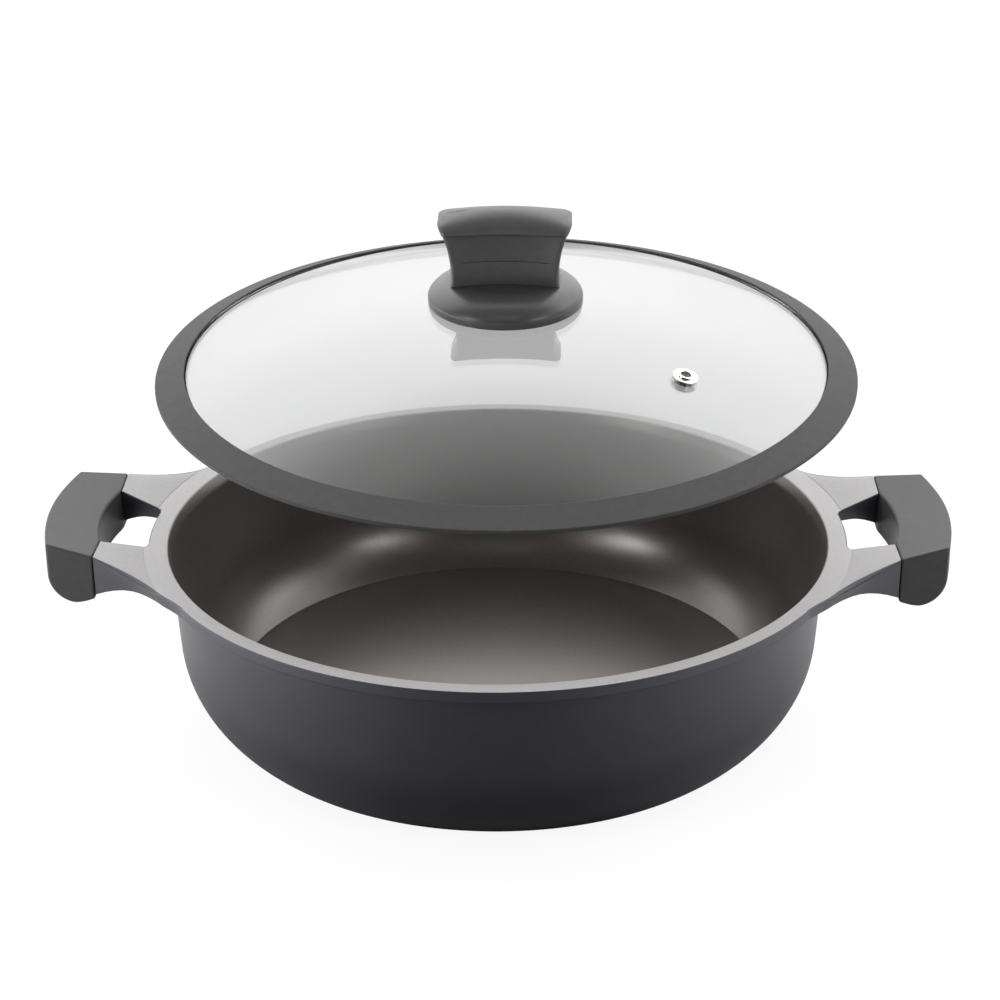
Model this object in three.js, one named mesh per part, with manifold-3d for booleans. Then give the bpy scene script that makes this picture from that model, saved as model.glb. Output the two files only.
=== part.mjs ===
import * as THREE from 'three';
import { mergeVertices } from 'three/addons/utils/BufferGeometryUtils.js';
import Module from 'manifold-3d';

// Shallow casserole pan with two side handles and a domed glass lid, the lid held above the pan.
// Millimetres and degrees. +Z is up, +X points to the right-hand grip, the viewer stands at -Y.
// The origin is the middle of the underside of the base.

// Clearance between pieces that touch, and the tolerance that welds vertices.
const FIT = 0.3;
const WELD = 1e-4;

// Facets of the large rounds, of the handle rings and plan curves, of the knob and of the small parts.
const BOWL_STEPS = 60;
const HANDLE_STEPS = 72;
const PLAN_STEPS = 8;
const KNOB_STEPS = 40;
const SMALL_STEPS = 16;

// Bowl: height, mouth, flat rim, drafted wall, cove between wall and base.
const PAN_HEIGHT = 77.5;
const MOUTH_RADIUS = 140;
const RIM_WIDTH = 6.5;
const RIM_THICK = 4.9;
const WALL_SETBACK = 0.8;
const WALL_DRAFT = 3.85;
const WALL_THICK = 4.1;
const COVE_RADIUS = 48;
const COVE_STEPS = 7;
const BASE_INSET = 21.2;
const FLOOR_THICK = 4;

// Mouth: the inside flares out over this depth, above it stays a short straight land.
const FLARE_DEPTH = 9;
const FLARE_LAND = 1.5;
const FLARE_STEPS = 4;

// Steel plate let into the base.
const PLATE_RADIUS = 96;
const PLATE_THICK = 1;
const PLATE_BEVEL = 0.4;

// Lid ring: reach inside the mouth, overhang past the rim, height, fall of its top, lips round the glass.
const RING_REACH = 3.5;
const RING_OVERHANG = 2.5;
const RING_DEPTH = 6.1;
const RING_FALL = 3.6;
const RING_EDGE = 0.5;
const LIP_THICK = 1.2;
const LOWER_LIP_REACH = 1.9;
const GLASS_GRIPPED = 2.1;

// Glass: part of a sphere with a hole for the knob screw and one for the vent.
const GLASS_THICK = 4;
const DOME_RADIUS = 348;
const DOME_STEPS = 6;
const KNOB_HOLE_RADIUS = 4;

// Handle arms: step that locates the lid, length out to the grip, half widths, plan angles.
const LID_PLAY = 1;
const STEP_HEIGHT = 0.45;
const ARM_REACH = 15.2;
const ARM_HALF = 44.2;
const ARM_EDGE_ANGLE = 29.5;
const ARM_ROOT_ANGLE = 33.6;
const ARM_RISE = 16.05;
const WINDOW_HALF = 26;
const WINDOW_SPLAY = 20.9;
const WINDOW_WEB = 1.5;
const WINDOW_CORNER = 3;

// Underside of an arm: flat, then bending down to the grip (distances out from the step).
const BELLY_START = 4.5;
const BELLY_BEND = 11.5;
const BELLY_END = 24;
const BELLY_DROP = 7.7;
const BELLY_STEPS = 6;

// Tenon at the end of each arm, inside the grip.
const TENON_LENGTH = 12;
const TENON_INNER = 29;
const TENON_OUTER = 40;
const TENON_TOP = 1.5;
const TENON_BOTTOM = -6.5;

// Grip: depth, bulge of the outer face, finger hollow, taper of the ends, round underside.
const GRIP_DEPTH = 25.3;
const GRIP_BULGE = 5.2;
const GRIP_HOLLOW = 3.5;
const GRIP_END_TAPER = 14.9;
const GRIP_TOP_SLOPE = 9.5;
const GRIP_ROUND = 11.2;
const GRIP_LOWEST = 15.6;
const GRIP_INNER_LIFT = 3.1;
const GRIP_INNER_POWER = 1.5;
const GRIP_SECTIONS = 12;
const GRIP_CURVE_STEPS = 4;

// Screws of the grips, from below.
const SCREW_RADIUS = 1.9;
const SCREW_HEAD_RADIUS = 4;
const SCREW_HEAD_THICK = 2.4;
const SCREW_SEAT_WALL = 3.7;
const SCREW_BITE = 6;
const DRIVE_RADIUS = 1.8;
const DRIVE_DEPTH = 1.3;

// Vent: distance and direction from the lid's middle, tube, flange, collar, rolled end, washer.
const VENT_OFFSET = 91.2;
const VENT_ANGLE = -36.6;
const VENT_HOLE_RADIUS = 3.7;
const VENT_BORE_RADIUS = 2.1;
const VENT_FLANGE_RADIUS = 5.2;
const VENT_FLANGE_THICK = 0.7;
const VENT_COLLAR_RADIUS = 3.5;
const VENT_COLLAR_RISE = 0.8;
const VENT_ROLL_RADIUS = 4.4;
const VENT_ROLL_THICK = 0.7;
const VENT_WASHER_RADIUS = 5.6;
const VENT_WASHER_THICK = 0.8;

// Knob disc: radius, upright skirt, shoulder up to the flat seat of the bar, hollow underside, boss.
const DISC_RADIUS = 32.7;
const DISC_SKIRT = 2;
const DISC_SHOULDER = 4;
const DISC_FALL = 0.8;
const DISC_SEAT_RADIUS = 23.5;
const DISC_WALL = 3;
const DISC_CURVE_STEPS = 5;
const BOSS_RADIUS = 12.5;

// Knob bar: height of its foot over the glass, height, rise of its crowned top, greatest half length and
// half depth, hollow of its faces, largest corner, facets along a face.
const BAR_STAND = 8.4;
const BAR_HEIGHT = 27.4;
const BAR_CROWN = 3.9;
const BAR_HALF = 27.3;
const BAR_DEPTH = 12.8;
const BAR_HOLLOW = 3.6;
const BAR_CORNER = 4.5;
const BAR_COLUMNS = 8;

// Its levels from the foot up to the head, each as shares of the sizes above.
const BAR_LEVELS = [
  { rise: 0, half: 0.817, depth: 0.78, hollow: 0.97, corner: 0.356, crown: 0 },
  { rise: 0.2, half: 0.806, depth: 0.773, hollow: 0.945, corner: 0.356, crown: 0 },
  { rise: 0.415, half: 0.82, depth: 0.773, hollow: 0.945, corner: 0.356, crown: 0 },
  { rise: 0.6, half: 0.853, depth: 0.79, hollow: 0.97, corner: 0.356, crown: 0 },
  { rise: 0.785, half: 0.905, depth: 0.83, hollow: 1, corner: 0.356, crown: 0 },
  { rise: 0.846, half: 0.923, depth: 0.86, hollow: 1, corner: 0.356, crown: 0 },
  { rise: 0.858, half: 0.934, depth: 0.97, hollow: 1, corner: 0.444, crown: 0 },
  { rise: 0.912, half: 0.963, depth: 1, hollow: 0.945, corner: 0.778, crown: 0.15 },
  { rise: 0.956, half: 0.993, depth: 0.94, hollow: 0.78, corner: 1, crown: 0.5 },
  { rise: 0.985, half: 1, depth: 0.75, hollow: 0.5, corner: 1, crown: 0.85 },
  { rise: 1, half: 0.974, depth: 0.43, hollow: 0.22, corner: 0.778, crown: 1 },
];

// Fixing of the knob: gaskets either side of the glass, washer, screw, threaded insert.
const GASKET_RADIUS = 11.5;
const GASKET_THICK = 1.1;
const SLEEVE_RADIUS = 3.7;
const KNOB_WASHER_RADIUS = 9;
const KNOB_WASHER_THICK = 1.2;
const KNOB_SCREW_RADIUS = 2;
const KNOB_HEAD_RADIUS = 4.5;
const KNOB_HEAD_THICK = 2.8;
const INSERT_RADIUS = 3.6;
const INSERT_LENGTH = 13;

// Lid as shown: moved right, back and up from its seat on the rim, and tipped with its back edge raised.
const LIFT_RIGHT = 3.3;
const LIFT_BACK = 28.56;
const LIFT_UP = 62.02;
const LIFT_TILT = 4.151;

const RIM_OUTER = MOUTH_RADIUS + RIM_WIDTH;
const FLANGE_Z = PAN_HEIGHT - RIM_THICK;
const STEP_Z = PAN_HEIGHT + STEP_HEIGHT;
const WALL_TOP_RADIUS = MOUTH_RADIUS - WALL_SETBACK;
const BASE_RADIUS = WALL_TOP_RADIUS - BASE_INSET;
const RING_INNER = MOUTH_RADIUS - RING_REACH;
const RING_OUTER = RIM_OUTER + RING_OVERHANG;
const STEP_RADIUS = RING_OUTER + LID_PLAY;
const SEAM_X = STEP_RADIUS + ARM_REACH;
const SEAM_END_RADIUS = Math.hypot(SEAM_X, ARM_HALF);
const GRIP_X = SEAM_X + FIT;
const DOME_CENTRE_Z = -LIP_THICK - Math.sqrt(DOME_RADIUS ** 2 - RING_INNER ** 2);
const DOME_TOP = DOME_CENTRE_Z + DOME_RADIUS;
const DOME_UNDER = DOME_TOP - GLASS_THICK;
const BAR_FOOT_Z = DOME_TOP + BAR_STAND;
const ARM_TOP = STEP_Z + BELLY_END * Math.tan(THREE.MathUtils.degToRad(ARM_RISE));

const wasm = await Module();
wasm.setup();

const rad = THREE.MathUtils.degToRad;

// A closed body from a geometry, its doubled vertices welded and its collapsed faces left out.
function body(geometry) {
  geometry.deleteAttribute('normal');
  geometry.deleteAttribute('uv');
  const welded = mergeVertices(geometry, WELD);
  const corners = welded.index.array;
  const faces = [];
  for (let i = 0; i < corners.length; i += 3) {
    const [a, b, c] = corners.slice(i, i + 3);
    if (a !== b && b !== c && c !== a) {
      faces.push(a, b, c);
    }
  }
  const vertProperties = Float32Array.from(welded.attributes.position.array);
  const triVerts = Uint32Array.from(faces);
  return new wasm.Manifold(new wasm.Mesh({ numProp: 3, vertProperties, triVerts }));
}

// A turned body from a profile of [radius, height] that starts and ends on the axis.
function turned(profile, steps) {
  const points = profile.map(([r, z]) => new THREE.Vector2(r, z));
  return body(new THREE.LatheGeometry(points, steps).rotateX(Math.PI / 2));
}

// A turned ring from a profile that goes round anticlockwise clear of the axis.
function turnedRing(profile, steps) {
  return turned([...profile, profile[0]], steps);
}

// A round bar along Z.
function rod(radius, bottom, top, steps) {
  return turned([[0, bottom], [radius, bottom], [radius, top], [0, top]], steps);
}

// A block between two corners.
function block(low, high) {
  const size = high.map((value, k) => value - low[k]);
  const middle = high.map((value, k) => (value + low[k]) / 2);
  return body(new THREE.BoxGeometry(...size).translate(...middle));
}

// A closed body through rings of points. Each ring runs out along one side and back along the other,
// so the end rings close with strips between opposite points.
function loft(rings) {
  const count = rings[0].length;
  const faces = [];
  for (let level = 0; level + 1 < rings.length; level += 1) {
    for (let k = 0; k < count; k += 1) {
      const a = level * count + k;
      const b = level * count + ((k + 1) % count);
      faces.push(a, b, b + count, a, b + count, a + count);
    }
  }
  const top = (rings.length - 1) * count;
  for (let k = 0; k + 1 < count / 2; k += 1) {
    const far = count - 1 - k;
    faces.push(k, far, far - 1, k, far - 1, k + 1);
    faces.push(top + k, top + k + 1, top + far - 1, top + k, top + far - 1, top + far);
  }
  const geometry = new THREE.BufferGeometry();
  geometry.setAttribute('position', new THREE.Float32BufferAttribute(rings.flat(2), 3));
  geometry.setIndex(faces);
  return body(geometry);
}

// Points on an arc in the profile plane, angles in radians.
function arc(centre, radius, from, to, steps) {
  const points = [];
  for (let k = 0; k <= steps; k += 1) {
    const angle = from + ((to - from) * k) / steps;
    points.push([centre[0] + radius * Math.cos(angle), centre[1] + radius * Math.sin(angle)]);
  }
  return points;
}

// Where the line from p along d meets the line from q along e.
function crossing(p, d, q, e) {
  const cross = d.x * e.y - d.y * e.x;
  const along = ((q.x - p.x) * e.y - (q.y - p.y) * e.x) / cross;
  return p.clone().addScaledVector(d, along);
}

// Height of a sphere about the dome's centre at a distance from the lid's axis.
function sphereZ(radius, r) {
  return DOME_CENTRE_Z + Math.sqrt(radius ** 2 - r ** 2);
}

function finish(color, roughness, metalness) {
  return new THREE.MeshStandardMaterial({ color, roughness, metalness });
}

function add(group, name, solid, material) {
  const { vertProperties, triVerts } = solid.getMesh();
  const geometry = new THREE.BufferGeometry();
  geometry.setAttribute('position', new THREE.Float32BufferAttribute(vertProperties, 3));
  geometry.setIndex(Array.from(triVerts));
  geometry.computeVertexNormals();
  const mesh = new THREE.Mesh(geometry, material);
  mesh.name = name;
  group.add(mesh);
}

// Bowl. The cove's centre lies on the wall's inside and its arc ends on the base edge.
function bowl() {
  const draft = rad(WALL_DRAFT);
  const out = new THREE.Vector2(Math.cos(draft), -Math.sin(draft));
  const down = new THREE.Vector2(-Math.sin(draft), -Math.cos(draft));
  const wallTop = new THREE.Vector2(WALL_TOP_RADIUS, FLANGE_Z);
  const start = wallTop.clone().addScaledVector(out, -COVE_RADIUS);
  const toBase = start.clone().sub(new THREE.Vector2(BASE_RADIUS, 0));
  const half = toBase.dot(down);
  const run = -half - Math.sqrt(half ** 2 - toBase.lengthSq() + COVE_RADIUS ** 2);
  const centre = start.clone().addScaledVector(down, run).toArray();
  const innerCove = COVE_RADIUS - WALL_THICK;
  const baseAngle = Math.atan2(-centre[1], BASE_RADIUS - centre[0]);
  const floorAngle = Math.asin((FLOOR_THICK - centre[1]) / innerCove);
  const outerCove = arc(centre, COVE_RADIUS, baseAngle, -draft, COVE_STEPS);
  const insideCove = arc(centre, innerCove, -draft, floorAngle, COVE_STEPS);
  const flareZ = PAN_HEIGHT - FLARE_DEPTH;
  const flareRadius = insideCove[0][0] + (flareZ - insideCove[0][1]) * Math.tan(draft);
  const flare = [];
  for (let k = 0; k <= FLARE_STEPS; k += 1) {
    const s = 1 - k / FLARE_STEPS;
    const r = flareRadius + (MOUTH_RADIUS - flareRadius) * s * s * (3 - 2 * s);
    flare.push([r, flareZ + (FLARE_DEPTH - FLARE_LAND) * s]);
  }
  const recess = PLATE_THICK + FIT;
  return turned([
    [0, recess],
    [PLATE_RADIUS + FIT, recess],
    [PLATE_RADIUS + FIT, 0],
    ...outerCove,
    [WALL_TOP_RADIUS, FLANGE_Z],
    [RIM_OUTER, FLANGE_Z],
    [RIM_OUTER, PAN_HEIGHT],
    [MOUTH_RADIUS, PAN_HEIGHT],
    ...flare,
    ...insideCove,
    [0, FLOOR_THICK],
  ], BOWL_STEPS);
}

// Plan of the right-hand handle casting: two arms that spring from the rim round a finger window.
function armPlan() {
  const rootAngle = rad(ARM_ROOT_ANGLE);
  const rootRadius = RIM_OUTER - FIT;
  const innerRadius = MOUTH_RADIUS + RIM_WIDTH / 2;
  const webRadius = RIM_OUTER + WINDOW_WEB;
  const end = new THREE.Vector2(SEAM_X, ARM_HALF);
  const edge = new THREE.Vector2(-Math.cos(rad(ARM_EDGE_ANGLE)), Math.sin(rad(ARM_EDGE_ANGLE)));
  const root = new THREE.Vector2(Math.cos(rootAngle), Math.sin(rootAngle)).multiplyScalar(rootRadius);
  const rootTangent = new THREE.Vector2(Math.sin(rootAngle), -Math.cos(rootAngle));
  const bend = crossing(end, edge, root, rootTangent);
  const jamb = new THREE.Vector2(SEAM_X, WINDOW_HALF);
  const splay = new THREE.Vector2(-Math.cos(rad(WINDOW_SPLAY)), -Math.sin(rad(WINDOW_SPLAY)));
  const half = jamb.dot(splay);
  const run = -half - Math.sqrt(half ** 2 - jamb.lengthSq() + webRadius ** 2);
  const corner = jamb.clone().addScaledVector(splay, run);
  const before = jamb.clone().addScaledVector(splay, run - WINDOW_CORNER);
  const webAngle = Math.atan2(corner.y, corner.x) - WINDOW_CORNER / webRadius;
  const web = new THREE.Vector2(Math.cos(webAngle), Math.sin(webAngle)).multiplyScalar(webRadius);
  const plan = new THREE.Shape();
  plan.moveTo(end.x, end.y);
  plan.quadraticCurveTo(bend.x, bend.y, root.x, root.y);
  plan.absarc(0, 0, innerRadius, rootAngle, -rootAngle, true);
  plan.lineTo(root.x, -root.y);
  plan.quadraticCurveTo(bend.x, -bend.y, end.x, -end.y);
  plan.lineTo(jamb.x, -jamb.y);
  plan.lineTo(before.x, -before.y);
  plan.quadraticCurveTo(corner.x, -corner.y, web.x, -web.y);
  plan.absarc(0, 0, webRadius, -webAngle, webAngle, false);
  plan.quadraticCurveTo(corner.x, corner.y, before.x, before.y);
  plan.lineTo(jamb.x, jamb.y);
  return plan;
}

// Section of the arms in radius and height: flush with the rim inside the step, rising outside it.
function armSection() {
  const innerRadius = MOUTH_RADIUS + RIM_WIDTH / 2;
  const outer = STEP_RADIUS + BELLY_END;
  const belly = new THREE.QuadraticBezierCurve(
    new THREE.Vector2(STEP_RADIUS + BELLY_START, FLANGE_Z),
    new THREE.Vector2(STEP_RADIUS + BELLY_BEND, FLANGE_Z),
    new THREE.Vector2(outer, FLANGE_Z - BELLY_DROP),
  );
  return [
    [innerRadius, FLANGE_Z],
    ...belly.getPoints(BELLY_STEPS).map((point) => point.toArray()),
    [outer, ARM_TOP],
    [STEP_RADIUS, STEP_Z],
    [STEP_RADIUS, PAN_HEIGHT],
    [innerRadius, PAN_HEIGHT],
  ];
}

// Places of the two screws of the right-hand grip, in the middle of each tenon.
const SCREW_X = SEAM_X + TENON_LENGTH / 2;
const SCREW_Y = (TENON_INNER + TENON_OUTER) / 2;
const SOCKET_Z = PAN_HEIGHT + TENON_BOTTOM - FIT;
const SCREW_SEAT_Z = SOCKET_Z - SCREW_SEAT_WALL;
const SCREW_TOP_Z = PAN_HEIGHT + TENON_BOTTOM + SCREW_BITE;

// One tenon, grown by a clearance where it stands for its socket.
function tenon(side, grown) {
  const y = [TENON_INNER * side, TENON_OUTER * side].sort((a, b) => a - b);
  const low = [SEAM_X - FIT, y[0] - grown, PAN_HEIGHT + TENON_BOTTOM - grown];
  const high = [SEAM_X + TENON_LENGTH + grown, y[1] + grown, PAN_HEIGHT + TENON_TOP + grown];
  return block(low, high);
}

function screwHole(side, bottom, top, radius) {
  return rod(radius, bottom, top, SMALL_STEPS).translate([SCREW_X, SCREW_Y * side, 0]);
}

function rightHandle() {
  const bottom = FLANGE_Z - BELLY_DROP - FIT;
  const depth = ARM_TOP + FIT - bottom;
  const settings = { depth, bevelEnabled: false, curveSegments: PLAN_STEPS };
  const plan = new THREE.ExtrudeGeometry(armPlan(), settings);
  let casting = body(plan.translate(0, 0, bottom)).intersect(turnedRing(armSection(), HANDLE_STEPS));
  for (const side of [-1, 1]) {
    const bore = screwHole(side, SOCKET_Z, SCREW_TOP_Z + FIT, SCREW_RADIUS + FIT);
    casting = casting.add(tenon(side, 0).subtract(bore));
  }
  return casting;
}

// Grip: sections across the handle, flat above, hollow towards the fingers, round below.
function rightGrip() {
  const slope = Math.tan(rad(GRIP_TOP_SLOPE));
  const endZ = STEP_Z + (SEAM_END_RADIUS - STEP_RADIUS) * Math.tan(rad(ARM_RISE));
  const lowest = PAN_HEIGHT - GRIP_LOWEST;
  const rings = [];
  for (let section = 0; section <= GRIP_SECTIONS; section += 1) {
    const s = 1 - (2 * section) / GRIP_SECTIONS;
    const scoop = Math.max(0, 1 - ((s * ARM_HALF) / WINDOW_HALF) ** 2);
    const inner = GRIP_X + GRIP_HOLLOW * scoop;
    const outer = GRIP_X + GRIP_DEPTH - GRIP_BULGE * s * s;
    const keel = outer - GRIP_ROUND;
    const under = [];
    for (let k = 0; k < GRIP_CURVE_STEPS; k += 1) {
      const back = 1 - k / GRIP_CURVE_STEPS;
      under.push([keel - (keel - inner) * back, lowest + GRIP_INNER_LIFT * back ** GRIP_INNER_POWER]);
    }
    under.push(...arc([keel, lowest + GRIP_ROUND], GRIP_ROUND, -Math.PI / 2, 0, GRIP_CURVE_STEPS));
    const across = (x) => s * (ARM_HALF - (x - GRIP_X) * Math.tan(rad(GRIP_END_TAPER)));
    const rise = (x) => endZ + (Math.hypot(x, across(x)) - SEAM_END_RADIUS) * slope;
    const lower = under.map(([x, z]) => [x, across(x), z]);
    const upper = under.map(([x]) => [x, across(x), rise(x)]).reverse();
    rings.push([...lower, ...upper]);
  }
  let grip = loft(rings);
  for (const side of [-1, 1]) {
    grip = grip.subtract(tenon(side, FIT));
    grip = grip.subtract(screwHole(side, lowest, SOCKET_Z + FIT, SCREW_RADIUS + FIT));
    grip = grip.subtract(screwHole(side, lowest - FIT, SCREW_SEAT_Z, SCREW_HEAD_RADIUS + FIT));
  }
  return grip;
}

// A screw that points up: round head with a drive recess, plain shank.
function screw(headRadius, headThick, shankRadius, headTop, tip) {
  const bottom = headTop - headThick;
  return turned([
    [0, bottom + DRIVE_DEPTH],
    [DRIVE_RADIUS, bottom + DRIVE_DEPTH],
    [DRIVE_RADIUS, bottom],
    [headRadius - headThick / 4, bottom],
    [headRadius, bottom + headThick / 4],
    [headRadius, headTop],
    [shankRadius, headTop],
    [shankRadius, tip - shankRadius / 2],
    [shankRadius / 2, tip],
    [0, tip],
  ], SMALL_STEPS);
}

function gripScrew(side) {
  const headTop = SCREW_SEAT_Z - FIT;
  const made = screw(SCREW_HEAD_RADIUS, SCREW_HEAD_THICK, SCREW_RADIUS, headTop, SCREW_TOP_Z);
  return made.translate([SCREW_X, SCREW_Y * side, 0]);
}

function basePlate() {
  return turned([
    [0, 0],
    [PLATE_RADIUS - PLATE_BEVEL, 0],
    [PLATE_RADIUS, PLATE_BEVEL],
    [PLATE_RADIUS, PLATE_THICK],
    [0, PLATE_THICK],
  ], BOWL_STEPS);
}

// Where the vent stands on the dome: its axis is square to the glass.
function atVent(solid) {
  const tilt = Math.asin(VENT_OFFSET / DOME_RADIUS);
  const tipped = solid.translate([0, 0, DOME_RADIUS]).rotate([0, THREE.MathUtils.radToDeg(tilt), 0]);
  return tipped.rotate([0, 0, VENT_ANGLE]).translate([0, 0, DOME_CENTRE_Z]);
}

function lidGlass() {
  const under = DOME_RADIUS - GLASS_THICK;
  const edge = Math.asin((RING_INNER + GLASS_GRIPPED) / DOME_RADIUS);
  const start = Math.asin(KNOB_HOLE_RADIUS / under);
  const axis = Math.PI / 2;
  const dome = turnedRing([
    ...arc([0, DOME_CENTRE_Z], under, axis - start, axis - edge, DOME_STEPS),
    ...arc([0, DOME_CENTRE_Z], DOME_RADIUS, axis - edge, axis - start, DOME_STEPS),
  ], BOWL_STEPS);
  return dome.subtract(atVent(rod(VENT_HOLE_RADIUS, -2 * GLASS_THICK, GLASS_THICK, SMALL_STEPS)));
}

// Silicone ring: sloping top, upright edge, flat seat and a slot that holds the edge of the glass.
function lidRing() {
  const over = DOME_RADIUS + FIT;
  const under = DOME_RADIUS - GLASS_THICK - FIT;
  const slot = Math.asin((RING_INNER + GLASS_GRIPPED + FIT) / DOME_RADIUS);
  const lip = RING_INNER - LOWER_LIP_REACH;
  const slotUnder = [under * Math.sin(slot), DOME_CENTRE_Z + under * Math.cos(slot)];
  const slotOver = [over * Math.sin(slot), DOME_CENTRE_Z + over * Math.cos(slot)];
  const lipUnder = sphereZ(under, lip);
  return turnedRing([
    [lip, lipUnder - LIP_THICK],
    [slotOver[0], slotUnder[1] - LIP_THICK],
    [slotOver[0] + LIP_THICK / 2, -RING_DEPTH],
    [RING_OUTER - RING_EDGE, -RING_DEPTH],
    [RING_OUTER, -RING_DEPTH + RING_EDGE],
    [RING_OUTER, -RING_FALL - RING_EDGE],
    [RING_OUTER - RING_EDGE, -RING_FALL],
    [RING_INNER, 0],
    [RING_INNER, sphereZ(over, RING_INNER)],
    slotOver,
    slotUnder,
    [lip, lipUnder],
  ], BOWL_STEPS);
}

// Steam vent: a tube through the glass with a collared flange above and a rolled end under its washer.
function ventEyelet() {
  const tube = VENT_HOLE_RADIUS - FIT;
  const rollTop = -GLASS_THICK - VENT_WASHER_THICK - 3 * FIT;
  const rollBottom = rollTop - VENT_ROLL_THICK;
  const flangeTop = FIT + VENT_FLANGE_THICK;
  return atVent(turnedRing([
    [VENT_BORE_RADIUS, rollBottom],
    [VENT_ROLL_RADIUS, rollBottom],
    [VENT_ROLL_RADIUS, rollTop],
    [tube, rollTop],
    [tube, FIT],
    [VENT_FLANGE_RADIUS, FIT],
    [VENT_FLANGE_RADIUS, flangeTop],
    [VENT_COLLAR_RADIUS, flangeTop],
    [VENT_COLLAR_RADIUS - VENT_COLLAR_RISE / 2, flangeTop + VENT_COLLAR_RISE],
    [VENT_BORE_RADIUS, flangeTop + VENT_COLLAR_RISE],
  ], SMALL_STEPS));
}

function washer(inner, outer, top, thick) {
  return turnedRing([[inner, top - thick], [outer, top - thick], [outer, top], [inner, top]], SMALL_STEPS);
}

function ventWasher() {
  return atVent(washer(VENT_HOLE_RADIUS, VENT_WASHER_RADIUS, -GLASS_THICK - 2 * FIT, VENT_WASHER_THICK));
}

// Knob disc: a shallow dome, hollow below, its middle boss on the upper gasket.
function knobBase() {
  const bottom = sphereZ(DOME_RADIUS, DISC_RADIUS - DISC_WALL) + FIT;
  const seat = BAR_FOOT_Z - FIT;
  const bossZ = DOME_TOP + GASKET_THICK + 2 * FIT;
  const bore = KNOB_SCREW_RADIUS + FIT;
  const shoulder = new THREE.CubicBezierCurve(
    new THREE.Vector2(DISC_RADIUS, bottom + DISC_SKIRT),
    new THREE.Vector2(DISC_RADIUS, bottom + 2 * DISC_SKIRT),
    new THREE.Vector2(DISC_RADIUS - DISC_SHOULDER, seat - DISC_FALL),
    new THREE.Vector2(DISC_SEAT_RADIUS, seat),
  );
  return turnedRing([
    [bore, bossZ],
    [BOSS_RADIUS, bossZ],
    [BOSS_RADIUS, seat - DISC_WALL],
    [DISC_SEAT_RADIUS, seat - DISC_WALL],
    [DISC_RADIUS - DISC_WALL, bottom + DISC_SKIRT],
    [DISC_RADIUS - DISC_WALL, bottom],
    [DISC_RADIUS, bottom],
    ...shoulder.getPoints(DISC_CURVE_STEPS).map((point) => point.toArray()),
    [bore, seat],
  ], KNOB_STEPS);
}

// Knob bar: levels with hollow front and back faces and round corners, the topmost ones crowned.
function knobGrip() {
  const rings = BAR_LEVELS.map((level) => {
    const half = BAR_HALF * level.half;
    const depth = BAR_DEPTH * level.depth;
    const hollow = BAR_HOLLOW * level.hollow;
    const corner = BAR_CORNER * level.corner;
    const flat = half - corner;
    const z = BAR_FOOT_Z + BAR_HEIGHT * level.rise;
    const lift = (x) => z + BAR_CROWN * level.crown * (1 - (x / half) ** 2);
    const cut = corner * (1 - Math.SQRT1_2);
    const face = [[-half, depth - corner], [cut - half, depth - cut]];
    for (let k = 0; k <= BAR_COLUMNS; k += 1) {
      const u = (2 * k) / BAR_COLUMNS - 1;
      face.push([flat * u, depth - hollow * (1 - u * u)]);
    }
    face.push([half - cut, depth - cut], [half, depth - corner]);
    const front = face.map(([x, y]) => [x, -y, lift(x)]);
    const back = face.map(([x, y]) => [x, y, lift(x)]).reverse();
    return [...front, ...back];
  });
  const boreTop = BAR_FOOT_Z + INSERT_LENGTH + 2 * FIT;
  const bore = rod(INSERT_RADIUS + FIT, BAR_FOOT_Z - FIT, boreTop, SMALL_STEPS);
  return loft(rings).subtract(bore);
}

function knobInsert() {
  return washer(KNOB_SCREW_RADIUS + FIT, INSERT_RADIUS, BAR_FOOT_Z + FIT + INSERT_LENGTH, INSERT_LENGTH);
}

function upperGasket() {
  return washer(KNOB_SCREW_RADIUS + FIT, GASKET_RADIUS, DOME_TOP + FIT + GASKET_THICK, GASKET_THICK);
}

// Lower gasket: a washer of silicone with a sleeve that stands up through the glass.
function lowerGasket() {
  const top = DOME_UNDER - FIT;
  const bore = KNOB_SCREW_RADIUS + FIT;
  return turnedRing([
    [bore, top - GASKET_THICK],
    [GASKET_RADIUS, top - GASKET_THICK],
    [GASKET_RADIUS, sphereZ(DOME_RADIUS - GLASS_THICK, GASKET_RADIUS) - FIT],
    [SLEEVE_RADIUS, top],
    [SLEEVE_RADIUS, DOME_TOP - FIT],
    [bore, DOME_TOP - FIT],
  ], SMALL_STEPS);
}

const KNOB_WASHER_TOP = DOME_UNDER - 2 * FIT - GASKET_THICK;

function knobWasher() {
  return washer(KNOB_SCREW_RADIUS + FIT, KNOB_WASHER_RADIUS, KNOB_WASHER_TOP, KNOB_WASHER_THICK);
}

function knobScrew() {
  const headTop = KNOB_WASHER_TOP - KNOB_WASHER_THICK - FIT;
  const tip = BAR_FOOT_Z + INSERT_LENGTH - FIT;
  return screw(KNOB_HEAD_RADIUS, KNOB_HEAD_THICK, KNOB_SCREW_RADIUS, headTop, tip);
}

const part = new THREE.Group();
const castAluminium = finish('#3d4046', 0.42, 0.55);
const steel = finish('#a9abae', 0.3, 1);
const gripPlastic = finish('#6f7073', 0.6, 0);
const clearGlass = finish('#dfe6e6', 0.05, 0);
const silicone = finish('#626264', 0.75, 0);
const knobPlastic = finish('#4c4c4e', 0.55, 0);
const brass = finish('#b59a55', 0.35, 1);

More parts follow.
